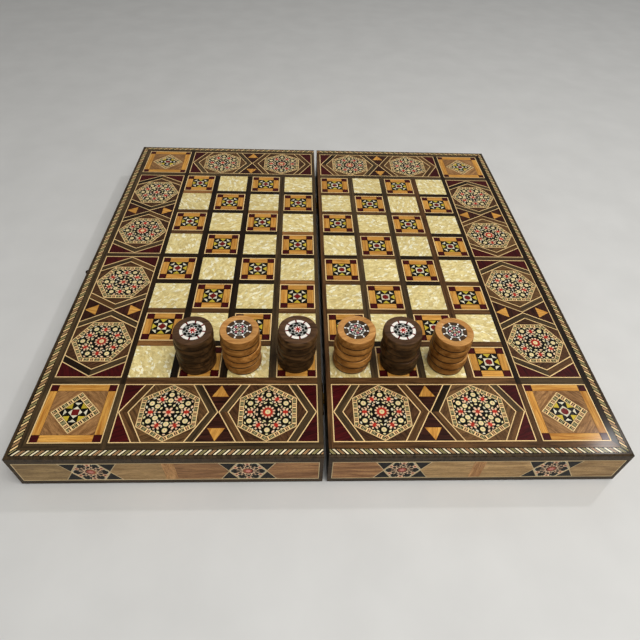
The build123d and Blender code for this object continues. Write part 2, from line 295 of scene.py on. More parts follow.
CREAM_ROPE = tessera("cream_rope", (252, 238, 200), 0.1, 0.08, (9.0, 0.5))
PINK_ROPE = tessera("pink_rope", (188, 146, 102), 0.24, 0.16, (9.0, 0.5))
GREEN_ROPE = tessera("green_rope", (166, 154, 104), 0.24, 0.16, (9.0, 0.5))
CREAM_DOT = tessera("cream_dot", (228, 214, 158), 0.1, 0.1, (1.6, 0.8))
WHITE = tessera("white_bone", (248, 242, 232), 0.08, 0.06, (3.0, 0.6))
SHELL = tessera("shell", (226, 218, 188), 0.16, 0.12, (2.0, 0.7))
GREY = tessera("grey_shell", (178, 180, 172), 0.2, 0.16, (1.6, 0.6))
TIP = tessera("pink_bone", (234, 198, 160), 0.12, 0.14)
PLUM = tessera("plum_wood", (172, 92, 104), 0.16, 0.16)
RED = tessera("red_wood", (186, 50, 36), 0.16, 0.16)
ROSE = tessera("rose_wood", (216, 142, 126), 0.16, 0.14)
RUSSET = tessera("russet_wood", (158, 74, 52), 0.16, 0.14)
WALL_BONE = tessera("wall_bone", (220, 196, 150), 0.14, 0.14, (9.0, 0.5))
DEEP_RED = tessera("deep_red_wood", (116, 28, 25), 0.16, 0.14)
PINK = tessera("pink_wood", (206, 158, 112), 0.18, 0.16, (4.0, 0.4))
GREEN = tessera("green_wood", (168, 160, 108), 0.2, 0.2, (4.0, 0.4))
LIME = tessera("lime_wood", (200, 176, 56), 0.16, 0.12)
CHECKER_DARK = wood("checker_dark", (52, 36, 24), (94, 68, 47), (34.0, 3.4), 0.16, 0.3, 0.86)
# Darker copy of the dark face wood for the disc sides: painted shade, with real per-disc tone and streaks.
DARK_SIDE_SHADED = wood("checker_dark_side_painted_shade", (30, 19, 9), (98, 70, 41), (40.0, 5.0), 0.34, 0.3, 0.88)
CHECKER_LIGHT = wood("checker_light", (176, 118, 60), (224, 168, 100), (34.0, 4.0), 0.12, 0.3, 0.88)
# Darker copy of the light face wood for the disc sides: painted shade, with real per-disc tone and streaks.
LIGHT_SIDE_SHADED = wood("checker_light_side_painted_shade", (124, 74, 26), (196, 138, 70), (40.0, 5.0), 0.22, 0.3, 0.88)
# Near-black wood for the lowest band of each disc's side: painted shade where the stacked discs meet.
RIM_SHADE_WOOD = wood("checker_rim_painted_shade", (22, 12, 5), (56, 34, 16), (34.0, 2.2), 0.2, 0.3)
BLOCK = tessera("block_wood", (72, 54, 38), 0.3, 0.3)
PEARL = pearl("mother_of_pearl")
BRASS = metal("aged_brass", srgb(212, 170, 96), srgb(128, 92, 48), 0.28)
# Much darker brass for the latch: painted shade on it; its tarnish patches are the metal's own.
SHADED_BRASS = metal("dark_brass", srgb(96, 74, 52), srgb(42, 32, 24), 0.34)
LEAF_WOODS = (CREAM_DOT, CREAM_DOT, SHELL, TIP)
LINE_WOODS = (CREAM, CREAM)


# ---- flat shapes, in millimetres ----


def polar(radius, angle, middle=(0.0, 0.0)):
    turned = math.radians(angle)
    return (middle[0] + radius * math.cos(turned), middle[1] + radius * math.sin(turned))


def regular(count, radius, turn=0.0, middle=(0.0, 0.0)):
    """Corners of a regular polygon, with its first corner at the angle turn."""
    return [polar(radius, turn + 360 * number / count, middle) for number in range(count)]


def rectangle(left, low, right, high):
    return [(left, low), (right, low), (right, high), (left, high)]


def centred(half_length, half_width):
    return rectangle(-half_length, -half_width, half_length, half_width)


def lozenge(middle, length, width, angle, belly=0.62):
    """Six-sided leaf shape, as cut for the small pieces of a mosaic."""
    cosine, sine = polar(1.0, angle)
    shape = []
    for along, across in ((1, 0), (1 - belly, 1), (belly - 1, 1), (-1, 0), (belly - 1, -1), (1 - belly, -1)):
        x, y = along * length / 2, across * width / 2
        shape.append((middle[0] + x * cosine - y * sine, middle[1] + x * sine + y * cosine))
    return shape


def star(points, outer, inner, turn=0.0):
    radii = (outer, inner) * points
    return [polar(radius, turn + 180 * number / points) for number, radius in enumerate(radii)]


def sector(inner, outer, start, finish, steps=3):
    """Piece of a ring between two angles."""
    angles = [start + (finish - start) * step / steps for step in range(steps + 1)]
    return [polar(outer, angle) for angle in angles] + [polar(inner, angle) for angle in reversed(angles)]


def mirrored(outline, across, along=1):
    """The outline with its two coordinates multiplied by 1 or -1."""
    return [(across * x, along * y) for x, y in outline]


def edges_of(outline):
    """Neighbouring pairs round a closed outline."""
    return list(zip(outline, outline[1:] + outline[:1]))


def signed_area(outline):
    return sum(x0 * y1 - x1 * y0 for (x0, y0), (x1, y1) in edges_of(outline)) / 2


def anticlockwise(outline):
    return outline[::-1] if signed_area(outline) < 0 else outline


def shrunk(outline, gap):
    """The outline with every edge moved inwards by gap."""
    normals = []
    for (x0, y0), (x1, y1) in edges_of(outline):
        length = math.hypot(x1 - x0, y1 - y0)
        normals.append(((y0 - y1) / length, (x1 - x0) / length))
    moved = []
    for number, (x, y) in enumerate(outline):
        (ax, ay), (bx, by) = normals[number - 1], normals[number]
        scale = gap / max(0.15, 1 + ax * bx + ay * by)
        moved.append((x + (ax + bx) * scale, y + (ay + by) * scale))
    return moved


def clipped(outline, region):
    """The part of a convex outline that lies inside a convex region."""
    for (x0, y0), (x1, y1) in edges_of(region):
        kept = []
        for (px, py), (qx, qy) in edges_of(outline):
            before = (x1 - x0) * (py - y0) - (y1 - y0) * (px - x0)
            after = (x1 - x0) * (qy - y0) - (y1 - y0) * (qx - x0)
            if before >= 0:
                kept.append((px, py))
            if before * after < 0:
                share = before / (before - after)
                kept.append((px + (qx - px) * share, py + (qy - py) * share))
        outline = kept
        if len(outline) < 3:
            return []
    return outline


def without_repeats(outline, least=0.02):
    kept = []
    for point in outline:
        if not kept or math.dist(point, kept[-1]) > least:
            kept.append(point)
    while len(kept) > 1 and math.dist(kept[0], kept[-1]) <= least:
        kept.pop()
    return kept


class Place:
    """A flat spot of an inlay, with millimetre coordinates along and across it and height out of it."""

    def __init__(self, inlay, origin, along=(1, 0, 0), across=(0, 1, 0)):
        self.inlay = inlay
        self.origin = Vector(origin)
        self.along = Vector(along)
        self.across = Vector(across)
        self.out = self.along.cross(self.across)

    def point(self, u, v, height=0.0):
        return (self.origin + self.along * u + self.across * v + self.out * height) * MM

    def moved(self, u, v, turn=0.0):
        """The same face with its origin moved and its axes turned by degrees."""
        cosine, sine = math.cos(math.radians(turn)), math.sin(math.radians(turn))
        origin = self.origin + self.along * u + self.across * v
        along = self.along * cosine + self.across * sine
        return Place(self.inlay, origin, along, self.across * cosine - self.along * sine)

    def piece(self, outline, material, level=0, grain=0.0, gap=GLUE_LINE, depth=PIECE_DEPTH):
        """Adds one flat piece. Level 0 is flush with the face, -1 a layer lower, and so on."""
        outline = without_repeats(outline)
        if len(outline) < 3 or abs(signed_area(outline)) < 0.03:
            return
        outline = shrunk(anticlockwise(outline), gap)
        if signed_area(outline) >= 0.01:
            self.inlay.prism(self, outline, material, level, grain, depth)


def random_shift():
    """Offset that gives a piece its own stretch of grain."""
    return [chance.uniform(0, 0.6) for axis in range(3)]


def added(name, data):
    """New object for a mesh, lamp or camera, put into the scene."""
    made = bpy.data.objects.new(name, data)
    bpy.context.scene.collection.objects.link(made)
    return made


class Inlay:
    """Thin closed pieces let into the faces of one body, gathered into a single mesh."""

    def __init__(self):
        self.points = []
        self.faces = []
        self.face_materials = []
        self.face_smooth = []
        self.materials = []
        self.grain = []
        self.tone = []

    def material_index(self, material):
        if material not in self.materials:
            self.materials.append(material)
        return self.materials.index(material)

    def add_faces(self, faces, material, smooth=False):
        self.faces += faces
        self.face_materials += [self.material_index(material)] * len(faces)
        self.face_smooth += [smooth] * len(faces)

    def add_points(self, place, outline, height, grain, shift):
        """Adds the corners of an outline, with coordinates whose first axis follows the grain."""
        cosine, sine = polar(1.0, grain)
        for u, v in outline:
            self.points.append(place.point(u, v, height))
            lengthways = (u * cosine + v * sine) * MM + shift[0]
            crossways = (v * cosine - u * sine) * MM + shift[1]
            self.grain.append((lengthways, crossways, height * MM + shift[2]))

    def prism(self, place, outline, material, level, grain, depth):
        """Adds a closed block under an outline."""
        count, base = len(outline), len(self.points)
        shift = random_shift()
        top = level * LAYER - chance.uniform(0, LAYER / 4)
        for height in (top - depth, top):
            self.add_points(place, outline, height, grain, shift)
        self.tone += [chance.uniform(-1, 1)] * (2 * count)
        lower = [base + number for number in range(count)]
        upper = [corner + count for corner in lower]
        sides = [(first, second, second + count, first + count) for first, second in edges_of(lower)]
        self.add_faces([tuple(reversed(lower)), tuple(upper)] + sides, material)

    def turned(self, place, profile, wood_at, segments=72):
        """Adds a closed turned body from a profile of (radius, height), first and last on the axis.

        The function wood_at gives the wood between two neighbouring points of the profile.
        """
        base = len(self.points)
        turn = chance.uniform(-30, 30)
        shift = random_shift()

        self.add_points(place, [(0, 0)], profile[0][1], turn, shift)
        for radius, height in profile[1:-1]:
            self.add_points(place, regular(segments, radius), height, turn, shift)
        self.add_points(place, [(0, 0)], profile[-1][1], turn, shift)
        end = len(self.points) - 1
        self.tone += [chance.uniform(-1, 1)] * (end + 1 - base)
        rings = len(profile) - 2
        last = base + 1 + (rings - 1) * segments
        following = [(number, (number + 1) % segments) for number in range(segments)]
        caps = [(base, base + 1 + first, base + 1 + second) for first, second in following]
        caps += [(end, last + second, last + first) for first, second in following]
        self.add_faces(caps, wood_at(profile[0], profile[1]), True)
        for ring in range(rings - 1):
            low = base + 1 + ring * segments
            high = low + segments
            band = [(low + first, high + first, high + second, low + second) for first, second in following]
            self.add_faces(band, wood_at(profile[ring + 1], profile[ring + 2]), True)

    def made(self, name, body, slot, *replaced):
        """Turns the gathered pieces into one Blender object that rides on a body."""
        mesh = bpy.data.meshes.new(name)
        mesh.from_pydata([tuple(point) for point in self.points], [], self.faces)
        mesh.polygons.foreach_set("material_index", self.face_materials)
        mesh.polygons.foreach_set("use_smooth", self.face_smooth)
        grain = mesh.attributes.new("grain", "FLOAT_VECTOR", "POINT")
        grain.data.foreach_set("vector", [value for vector in self.grain for value in vector])
        tone = mesh.attributes.new("tone", "FLOAT", "POINT")
        tone.data.foreach_set("value", self.tone)
        for material in self.materials:
            mesh.materials.append(material)
        mesh.update()
        piece = added(name, mesh)
        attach(piece, body)
        if replaced:
            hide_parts(*replaced)


# ---- reading the frame ----


def solid_boxes(node):
    """Lowest and highest corner, in millimetres, of each separate solid in a CAD node."""
    solids = bmesh.new()
    solids.from_mesh(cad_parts[node].data)
    bmesh.ops.remove_doubles(solids, verts=solids.verts, dist=1e-5)
    waiting = set(solids.verts)
    boxes = []
    while waiting:
        edge_of_search = [waiting.pop()]
        corners = []
        while edge_of_search:
            vertex = edge_of_search.pop()
            corners.append(vertex.co / MM)
            for edge in vertex.link_edges:
                other = edge.other_vert(vertex)
                if other in waiting:
                    waiting.discard(other)
                    edge_of_search.append(other)
        low = [min(corner[axis] for corner in corners) for axis in range(3)]
        high = [max(corner[axis] for corner in corners) for axis in range(3)]
        boxes.append((Vector(low), Vector(high)))
    solids.free()
    return sorted(boxes, key=lambda box: tuple(round(value, 2) for value in box[0]))


def levels(node, axis):
    """The different coordinates, in millimetres, that a node's corners have along one axis."""
    return sorted({round(vertex.co[axis] / MM, 2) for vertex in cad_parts[node].data.vertices})


def spans(boxes, axis):
    """Start and end, along one axis, of each row or column that the boxes stand in."""
    return sorted({(round(low[axis], 2), round(high[axis], 2)) for low, high in boxes})


def distances(boxes):
    """Start and end of each column, measured outwards from the hinge line."""
    return sorted(tuple(sorted((abs(start), abs(end)))) for start, end in spans(boxes, 0))


def top_place(inlay, box, lengthways_y=False):
    """Place on the upper face of a box, with its first axis along the box's length."""
    low, high = box
    middle = ((low.x + high.x) / 2, (low.y + high.y) / 2, high.z)
    if lengthways_y:
        return Place(inlay, middle, (0, 1, 0), (-1, 0, 0))
    return Place(inlay, middle)


# ---- pattern parts ----


def bed(place, half_length, half_width):
    """Dark ground that the pieces of a panel are glued on."""
    place.piece(centred(half_length, half_width), EBONY, -7, gap=0.0, depth=BED_DEPTH - 7 * LAYER)


def line_frame(place, half_length, half_width, line, material, level=0):
    """Mitred line round the inside of a rectangle."""
    outer = centred(half_length, half_width)
    inner = centred(half_length - line, half_width - line)
    for number, (ends, inner_ends) in enumerate(zip(edges_of(outer), edges_of(inner))):
        place.piece([*ends, *reversed(inner_ends)], material, level, 90.0 * (number % 2))


def polygon_ring(place, outer, inner, material, level=0, sequence=None, offset=0.0):
    """Ring between two outlines, one mitred strip for each side, plain or in a sequence of blocks."""
    for ends, inner_ends in zip(edges_of(outer), edges_of(inner)):
        strip = [*ends, *reversed(inner_ends)]
        start, finish = Vector(ends[0]), Vector(ends[1])
        direction = (finish - start).normalized()
        angle = math.degrees(math.atan2(direction.y, direction.x))
        if sequence is None:
            place.piece(strip, material, level, angle)
            continue
        across = Vector((-direction.y, direction.x)) * 2 * (finish - start).length
        at, block = -offset, 0
        while at < (finish - start).length:
            wood_of_block, width = sequence[block % len(sequence)]
            left, right = start + direction * at, start + direction * (at + width)
            stripe = [left - across, right - across, right + across, left + across]
            stripe = clipped([tuple(corner) for corner in stripe], strip)
            place.piece(stripe, wood_of_block, level, angle + 90)
            at += width
            block += 1


BLOCKS = (
    (CREAM, 1.3), (EBONY, 0.7), (PINK, 1.1), (EBONY, 0.7), (CREAM, 1.3), (EBONY, 0.8),
    (GREEN, 0.6), (EBONY, 0.6), (CREAM_DOT, 0.5), (EBONY, 0.6), (GREEN, 0.6), (EBONY, 0.8),
)
ROPE = (
    (CREAM_ROPE, 1.9), (EBONY, 1.4), (GREEN_ROPE, 1.15), (EBONY, 0.3), (GREEN_ROPE, 1.15), (EBONY, 1.5),
    (CREAM_ROPE, 1.9), (EBONY, 1.4), (PINK_ROPE, 1.15), (EBONY, 0.3), (PINK_ROPE, 1.15), (EBONY, 1.5),
)


def small_star(place, angle, distance, reach, radial=True):
    """Red bow tie or hexagon with six bone tips round it, centred at a distance along an angle."""
    spot = place.moved(*polar(distance, angle), angle)
    spot.piece(star(6, reach * 0.62, reach * 0.4, 30), RED, -0.5)
    if radial:
        spot.piece(lozenge((0, 0), reach * 1.25, reach * 0.52, 0, 0.75), RED, 0)
    for number in range(6):
        short = radial and number % 3 == 0
        middle, length = (0.86, 0.5) if short else (0.72, 0.8)
        tip = lozenge(polar(reach * middle, 60 * number), reach * length, reach * 0.44, 60 * number, 0.5)
        spot.piece(tip, TIP, 0.5)


def dot(place, angle, distance, radius):
    """Cream disc with a tan middle and a small grey centre."""
    spot = place.moved(*polar(distance, angle))
    spot.piece(regular(14, radius), CREAM_DOT, -1)
    spot.piece(regular(12, radius * 0.62), CREAM, -0.5)
    spot.piece(regular(8, radius * 0.28), GREY, 0, gap=0.0)


def leaf(place, angle, distance, lean, length, width, material=None, unit=1.0):
    """Small leaf-shaped piece at a distance along an angle, leaning from that direction."""
    outline = lozenge(polar(distance * unit, angle), length * unit, width * unit, angle + lean)
    place.piece(outline, material or chance.choice(LEAF_WOODS), 0, angle + lean)


def mosaic(place, open_centre):
    """Six-fold mosaic on a black ground. An open centre has a dot in it instead of a star."""
    if open_centre:
        place.piece(star(12, 5.6, 3.6, 0.0), RED, -1.5)
        dot(place, 0, 0, 2.3)
        for number in range(12):
            leaf(place, 15 + 30 * number, 5.3, 0, 2.7, 1.7, TIP)
            lean = 15 if number % 2 else -15
            leaf(place, 15 + 30 * number, 9.3, 90 + lean, 3.4, 1.6)
    else:
        small_star(place, 0, 0, 4.6, False)
        for number in range(12):
            leaf(place, 30 * number, 7.5, 90 * (number % 2), 3.2, 1.7)
    for number in range(6):
        small_star(place, 60 * number, 14.8, 4.1)
        between = 60 * number + 30
        dot(place, between, 17.4, 2.3)
        leaf(place, between, 21.3, 90, 2.8, 1.4)
        for lean in (-1, 1):
            leaf(place, 60 * number + 15 * lean, 19.5, 60 * lean, 3.4, 1.7)
            leaf(place, 60 * number + 6 * lean, 20.0, 90, 1.6, 1.1)
            if open_centre:
                leaf(place, between + 6.5 * lean, 12.5, 90 + 38 * lean, 3.2, 1.4)
                leaf(place, 60 * number + 10 * lean, 10.8, 90, 1.7, 1.1)
                leaf(place, between + 14 * lean, 14.6, 0, 2.2, 1.2)
            else:
                leaf(place, between + 13 * lean, 14.4, 0, 2.4, 1.2)
                leaf(place, between + 19 * lean, 11.0, 45 * lean, 2.4, 1.2)
        if not open_centre:
            dot(place, between, 11.5, 2.3)
            leaf(place, 60 * number, 10.3, 0, 1.6, 1.0, GREY)


def medallion(place, open_centre):
    """Hexagonal medallion with its corners across the panel: line, banding, line and mosaic."""
    radii = [MEDALLION_RADIUS]
    for width in (HEXAGON_LINE, HEXAGON_BANDING, HEXAGON_INNER_LINE):
        radii.append(radii[-1] - width / SLOPE)
    rings = [regular(6, value, 30) for value in radii]
    polygon_ring(place, rings[0], rings[1], CREAM)
    polygon_ring(place, rings[1], rings[2], None, 0, BLOCKS, chance.uniform(0, 3))
    polygon_ring(place, rings[2], rings[3], CREAM)
    place.piece(rings[3], BLACK_FIELD, -2, gap=0.0)
    mosaic(place, open_centre)


def diagonal_strip(place, apex, height, start, finish, direction, woods):
    """Two strips that meet at mid-width and slope to the long edges, as seen from a cell's middle."""
    run = height / ROOT_3
    for end, material in zip(ENDS, woods):
        near, far = apex - start, apex - finish
        outline = [(near, 0), (near - run, height), (far - run, height), (far, 0)]
        place.piece(mirrored(outline, direction, end), material, 0, -direction * end * 60.0)


def medallion_cell(place, half_length, height, open_centre):
    """Half of a long panel: crossed bands at its ends and a medallion in the middle."""
    line, band = PANEL_LINE / SLOPE, DIAGONAL_BAND / SLOPE
    run = height / ROOT_3
    flat = MEDALLION_RADIUS * SLOPE
    corner = MEDALLION_RADIUS / 2
    inner = half_length - band - line
    field_wood = chance.choice((FIELD, FIELD_DARK))
    for direction in ENDS:
        band_woods = chance.choices((WALNUT, WALNUT_BROWN, WALNUT_DARK), (3, 3, 1), k=2)
        start = 0
        for width, woods in ((line, LINE_WOODS), (band - line, band_woods), (line, LINE_WOODS)):
            diagonal_strip(place, half_length, height, start, start + width, direction, woods)
            start += width
        side_field = [(flat, -corner), (flat, corner), (inner, 0)]
        place.piece(mirrored(side_field, direction), field_wood, -1, chance.choice((55, 70, 125)))
        for end in ENDS:
            field = mirrored([(flat, corner), (0, height), (inner - run, height)], direction, end)
            place.piece(field, field_wood, -1, direction * end * chance.choice((-30, 20, 60)))
    medallion(place, open_centre)


def long_panel(place, half_length, half_width, open_first, open_second):
    """Long border panel: two medallion cells, maroon corners, honey triangles at the middle."""
    bed(place, half_length, half_width)
    line_frame(place, half_length, half_width, PANEL_LINE, CREAM)
    length, height = half_length - PANEL_LINE, half_width - PANEL_LINE
    run = height / ROOT_3
    honey_height = HONEY_SIDE * SLOPE
    for end in ENDS:
        for direction in ENDS:
            corner = [(length, 0), (length, height), (length - run, height)]
            place.piece(mirrored(corner, direction, end), MAROON, -1, 20.0)
        middle = [(0, 0), (run, end * height), (-run, end * height)]
        place.piece(middle, PURPLE, -1, 0.0)
        base = end * (height - honey_height)
        honey = [(0, end * (height - 0.4)), (HONEY_SIDE / 2, base), (-HONEY_SIDE / 2, base)]
        place.piece(honey, HONEY, 0, 75.0)
    medallion_cell(place.moved(-length / 2, 0), length / 2, height, open_first)
    medallion_cell(place.moved(length / 2, 0), length / 2, height, open_second)


def barred_border(place, half, line, bar, joint):
    """Cream line, honey bars and maroon corners round a square. Returns the half-size inside."""
    bed(place, half, half)
    line_frame(place, half, half, line, CREAM)
    outer = half - line
    inner = outer - bar
    for quarter in range(4):
        turned = place.moved(0, 0, 90 * quarter)
        turned.piece(rectangle(-inner, inner, inner, outer), HONEY, 0, 0.0, joint)
        turned.piece(rectangle(inner, inner, outer, outer), MAROON, 0, 30.0, joint)
    return inner


def square_star(place, size, centre_sides):
    """Small eight-part star on a black square of the given half-size, with a red centre."""
    place.piece(centred(size, size), BLACK_FIELD, -2, gap=0.08)
    unit = size / 10.6
    cream = 4.6 * unit
    place.piece(centred(cream, cream), SHELL, -1, 45.0)
    centre = regular(centre_sides, 4.7 * unit if centre_sides == 4 else 3.8 * unit)
    place.piece(centre, DEEP_RED, 0, 20.0)
    for quarter in range(4):
        turned = place.moved(0, 0, 90 * quarter)
        side = [(-4.0 * unit, 10.4 * unit), (0, 5.6 * unit), (4.0 * unit, 10.4 * unit)]
        turned.piece(side, LIME, 0, 90.0)
        tip = [(5.4 * unit, 5.4 * unit), (9.9 * unit, 5.0 * unit), (5.0 * unit, 9.9 * unit)]
        turned.piece(tip, SHELL, 0, 45.0)


def chess_square(place, half, centre_sides):
    inner = barred_border(place, half, SQUARE_LINE, SQUARE_BAR, 0.3)
    square_star(place, inner - 0.3, centre_sides)


def corner_panel(place, half, centre_sides):
    """Square panel with a striped diamond and a star set on its corner."""
    inner = barred_border(place, half, PANEL_LINE, CORNER_BAR, 0.2)
    reach, line, banding = 20.3, 1.0, 3.4 * math.sqrt(2)
    radii = (reach, reach - line, reach - line - banding, reach - 2 * line - banding)
    rings = [regular(4, radius) for radius in radii]
    for quarter in range(4):
        turned = place.moved(0, 0, 90 * quarter)
        field = [(inner, 0), (inner, inner), (0, inner), (0, reach), (reach, 0)]
        turned.piece(field, CORNER_FIELD, -1, 135.0)
    polygon_ring(place, rings[0], rings[1], CREAM)
    polygon_ring(place, rings[1], rings[2], None, 0, BLOCKS, 0.6)
    polygon_ring(place, rings[2], rings[3], CREAM)
    square_star(place.moved(0, 0, 45), radii[3] / math.sqrt(2), centre_sides)


def wall_mosaic(place, side):
    """Six-fold mosaic of a wall hexagon: black leaves and red pieces on bone, round a rose centre."""
    place.piece(regular(6, side), BLACK_FIELD, -4, gap=0.0)
    for number in range(12):
        angle = 30 * number
        wide = number % 2 == 0
        place.piece(sector(0.3 * side, 0.62 * side, angle - 14, angle + 14, 2), TIP, -3)
        ground = clipped(sector(0.64 * side, side, angle - 14, angle + 14, 2), regular(6, side))
        place.piece(ground, SHELL if wide else TIP, -3)
        leaf(place, angle, 0.53, 0, 0.24, 0.17, EBONY, side)
        leaf(place, angle + 15, 0.4, 0, 0.16, 0.08, EBONY, side)
        leaf(place, angle + 15, 0.72, 0, 0.3, 0.1, EBONY, side)
        if wide:
            place.piece(regular(8, 0.18 * side, 22.5, polar(0.77 * side, angle)), EBONY, 0)
        else:
            leaf(place, angle, 0.76, 0, 0.17, 0.14, RUSSET, side)
    place.piece(star(12, 0.28 * side, 0.21 * side), RUSSET, -1)
    place.piece(star(8, 0.19 * side, 0.1 * side), ROSE, 0, gap=0.0)


def wall_hexagon(place, inradius):
    """Hexagon of a wall panel, with a dark triangle on each of its four sloping sides."""
    side = 2 * inradius / ROOT_3
    inner = side - WALL_LINE / SLOPE
    polygon_ring(place, regular(6, side), regular(6, inner), WALL_BONE)
    wall_mosaic(place, inner)
    for end in ENDS:
        for direction in ENDS:
            outline = [(side, 0), (side / 2, inradius), (side * 1.5, inradius)]
            outline = anticlockwise(mirrored(outline, direction, end))
            place.piece(outline, WALL_BONE, -2)
            place.piece(shrunk(outline, WALL_LINE), EBONY, -1, 60.0)


def wall_panel(place, half_length, half_height, hexagons, strips, woods):
    """Framed veneer on a wall, with hexagons and lighter cross strips at the given middles.

    The woods are those of the fields between the hexagons and strips, from left to right.
    """
    bed(place, half_length, half_height)
    line_frame(place, half_length, half_height, WALL_LINE, WALL_BONE)
    length, height = half_length - WALL_LINE, half_height - WALL_LINE
    edges = [-length]
    for middle in sorted(list(hexagons) + list(strips)):
        half = WALL_STRIP / 2 if middle in strips else 0.0
        edges += [middle - half, middle + half]
    edges.append(length)
    for number, material in enumerate(woods):
        field = rectangle(edges[2 * number], -height, edges[2 * number + 1], height)
        place.piece(field, material, -4, 0.0)
    for middle in strips:
        strip = rectangle(middle - WALL_STRIP / 2, -height, middle + WALL_STRIP / 2, height)
        place.piece(strip, WALNUT_LIGHT, -4, 90.0)
    for middle in hexagons:
        wall_hexagon(place.moved(middle, 0), height)


# ---- the two halves ----


CENTRE_SIDES = {"left": 4, "right": 8}


def make_squares(name, body):
    inlay = Inlay()
    for box in solid_boxes(f"{name}_pearl_squares"):
        place = top_place(inlay, box)
        half = (box[1].x - box[0].x) / 2
        place.piece(centred(half, half), PEARL, 0, chance.choice((10, 35, 80, 120, 160)), depth=BED_DEPTH)
    inlay.made(f"{name}_pearl_plates", body, "mother_of_pearl", f"{name}_pearl_squares")
    inlay = Inlay()
    for box in solid_boxes(f"{name}_marquetry_squares"):
        chess_square(top_place(inlay, box), (box[1].x - box[0].x) / 2, CENTRE_SIDES[name])
    inlay.made(f"{name}_square_marquetry", body, "marquetry", f"{name}_marquetry_squares")


def make_panels(name, side, body):
    inlay = Inlay()
    for box in solid_boxes(f"{name}_border_panels"):
        size = box[1] - box[0]
        if abs(size.x - size.y) < 1:
            corner_panel(top_place(inlay, box), size.x / 2, CENTRE_SIDES[name])
        elif size.x > size.y:
            long_panel(top_place(inlay, box), size.x / 2, size.y / 2, side > 0, side < 0)
        else:
            long_panel(top_place(inlay, box, True), size.y / 2, size.x / 2, True, False)
    inlay.made(f"{name}_panel_marquetry", body, "marquetry", f"{name}_border_panels")


def make_rope(name, side, body):
    """Diagonal stripes along three mitred strips. They lean towards the hinge side on each half."""
    node = f"{name}_rope_banding"
    low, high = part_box(node)
    ys = levels(node, 1)
    width = ys[1] - ys[0]
    out_x, near_x = sorted((abs(low.x / MM), abs(high.x / MM)), reverse=True)
    out_y = high.y / MM
    in_x, in_y = out_x - width, out_y - width
    inlay = Inlay()
    place = Place(inlay, (0, 0, high.z / MM))
    strips = [
        [(near_x, -out_y), (out_x, -out_y), (in_x, -in_y), (near_x, -in_y)],
        [(out_x, -out_y), (out_x, out_y), (in_x, in_y), (in_x, -in_y)],
        [(in_x, in_y), (out_x, out_y), (near_x, out_y), (near_x, in_y)],
    ]
    for strip_number, strip in enumerate(strips):
        strip = anticlockwise(mirrored(strip, side))
        place.piece(strip, EBONY, -7, gap=0.0, depth=BED_DEPTH - 7 * LAYER)
        strip = shrunk(strip, ROPE_EDGE)
        offsets = [-side * x - y for x, y in strip]
        at, block, reach = min(offsets) - chance.uniform(0, 7), 0, 1000
        while at < max(offsets):
            material, thickness = ROPE[block % len(ROPE)]
            if material == CREAM_ROPE and strip_number > 0:
                material = CREAM
            stripe = [
                (-side * (at + reach), reach),
                (-side * (at - reach), -reach),
                (-side * (at + thickness - reach), -reach),
                (-side * (at + thickness + reach), reach),
            ]
            outline = clipped(anticlockwise(stripe), strip)
            place.piece(outline, material, 0, 90 + side * 45)
            at += thickness
            block += 1
    inlay.made(f"{name}_rope_stripes", body, "rope_banding", node)


FRONT_FIELDS = {
    "left": (WALNUT_DUSK, WALNUT_SIDE, WALNUT_RUST, WALNUT_RUST),
    "right": (WALNUT_RUST, WALNUT_SIDE, WALNUT_SIDE, WALNUT_SIDE),
}
LONG_BARS = {"left": (WALNUT, WALNUT_DARK), "right": (WALNUT_BROWN, WALNUT_DARK, WALNUT)}
ACROSS_BARS = {
    "left": (WALNUT_DARK, WALNUT_DARK, WALNUT_BROWN, WALNUT_TAN),
    "right": (WALNUT_DARK, WALNUT_BROWN, WALNUT_BROWN),
}


